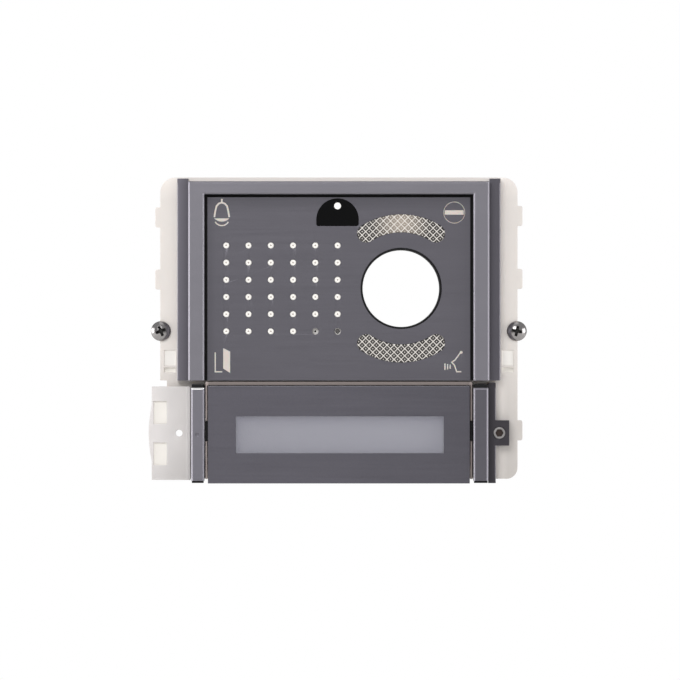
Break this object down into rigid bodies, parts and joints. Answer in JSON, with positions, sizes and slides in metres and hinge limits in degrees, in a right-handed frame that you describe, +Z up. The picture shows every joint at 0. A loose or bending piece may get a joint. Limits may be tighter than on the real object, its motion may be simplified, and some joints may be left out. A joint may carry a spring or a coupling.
{
  "type": "video door intercom panel",
  "caption": "Flush-mounted door station with a speaker grille, open camera bay, symbol lights, a wide call button and a pull-out name card tray.",
  "frame": {"origin": "midway between the two mounting screws, in the plane where the wings seat on the wall box", "axes": "+Z up, -Y towards the person in front of the panel, +X right as seen from the front"},
  "size_m": [0.1464, 0.036, 0.1184],
  "materials": {
    "cream_shell": "fine texture",
    "slate_frame": "satin metallic",
    "slate_plate": "satin metallic",
    "black_plastic": "fine texture",
    "black_gloss": "polished",
    "black_rubber": "matt",
    "clear_lens": "cross-hatched clear",
    "opal_guide": "opal",
    "smoked_lens": "smoked",
    "tray_plastic": "frosted translucent",
    "card": "uncoated",
    "zinc_steel": "zinc plated",
    "black_steel": "black coated",
    "cone_paper": "treated",
    "board": "solder resist",
    "led": "diffuse",
    "black_parts": "moulded",
    "green_terminal": "moulded",
    "trimmer_blue": "moulded",
    "white_plastic": "moulded"
  },
  "bodies": {
    "panel": {"chassis": "cream_shell", "rear_housing": "cream_shell", "upper_frame": "slate_frame", "front_plate": "slate_plate", "plate_seal": "black_rubber", "plate_carrier": "cream_shell", "camera_collar": "black_plastic", "sensor_window": "black_gloss", "sensor_light_pipe": "opal_guide", "upper_illuminator": "clear_lens", "lower_illuminator": "clear_lens", "bell_light_guide": "opal_guide", "busy_light_guide": "opal_guide", "door_light_guide": "opal_guide", "talk_light_guide": "opal_guide", "speaker_basket": "black_steel", "speaker_cone": "cone_paper", "speaker_magnet": "zinc_steel", "speaker_foam_ring": "black_rubber", "microphone": "zinc_steel", "microphone_boot": "black_rubber", "light_board": "board", "light_board_leds": "led", "lower_rail_left": "slate_frame", "lower_rail_right": "slate_frame", "rail_end_caps": "black_plastic", "button_guide_frame": "cream_shell", "button_springs": "zinc_steel", "switch_body": "black_parts", "button_board": "board", "backlight_leds": "led", "main_board": "board", "main_board_parts": "black_parts", "terminal_header": "green_terminal", "bus_socket": "white_plastic", "trimmer_bases": "trimmer_blue", "frame_screws": "zinc_steel", "board_screws": "zinc_steel", "main_board_screws": "zinc_steel", "housing_screws": "zinc_steel"},
    "call_button": {"call_button": "slate_plate", "button_carrier": "black_plastic", "carrier_pins": "black_plastic", "button_lens": "smoked_lens"},
    "switch_plunger": {"switch_plunger": "white_plastic"},
    "card_tray": {"card_tray": "tray_plastic", "name_card": "card"},
    "lock_screw": {"lock_screw": "zinc_steel"},
    "mounting_screw_left": {"mounting_screw_left": "zinc_steel"},
    "mounting_screw_right": {"mounting_screw_right": "zinc_steel"},
    "speaker_trimmer": {"speaker_trimmer": "white_plastic"},
    "microphone_trimmer": {"microphone_trimmer": "white_plastic"},
    "terminal_plug": {"terminal_plug": "green_terminal", "terminal_screws": "zinc_steel"}
  },
  "joints": [
    {"name": "call_button_slide", "type": "slide", "parent": "panel", "child": "call_button", "axis": [0, 1, 0], "range_m": [0, 0.0015], "stiffness_N_per_m": 400, "springref_m": -0.001, "deforming": ["button_springs"]},
    {"name": "switch_plunger_slide", "type": "slide", "parent": "panel", "child": "switch_plunger", "axis": [0, 1, 0], "range_m": [0, 0.0015]},
    {"name": "card_tray_slide", "type": "slide", "parent": "panel", "child": "card_tray", "axis": [-1, 0, 0], "range_m": [0, 0.09]},
    {"name": "lock_screw_turn", "type": "hinge", "parent": "panel", "child": "lock_screw", "pos_m": [0.0621, -0.004, -0.0394], "axis": [0, 1, 0], "continuous": true},
    {"name": "mounting_screw_left_turn", "type": "hinge", "parent": "panel", "child": "mounting_screw_left", "pos_m": [-0.0689, 0, 0], "axis": [0, 1, 0], "continuous": true},
    {"name": "mounting_screw_right_turn", "type": "hinge", "parent": "panel", "child": "mounting_screw_right", "pos_m": [0.0689, 0, 0], "axis": [0, 1, 0], "continuous": true},
    {"name": "speaker_trimmer_turn", "type": "hinge", "parent": "panel", "child": "speaker_trimmer", "pos_m": [-0.028, 0.017, -0.0091], "axis": [0, 1, 0], "range_deg": [-135, 135]},
    {"name": "microphone_trimmer_turn", "type": "hinge", "parent": "panel", "child": "microphone_trimmer", "pos_m": [-0.016, 0.017, -0.0091], "axis": [0, 1, 0], "range_deg": [-135, 135]},
    {"name": "terminal_plug_slide", "type": "slide", "parent": "panel", "child": "terminal_plug", "axis": [0, 1, 0], "range_m": [0, 0.01]}
  ],
  "couplings": [
    {"joint": "switch_plunger_slide", "follows": "call_button_slide", "ratio": 1}
  ]
}
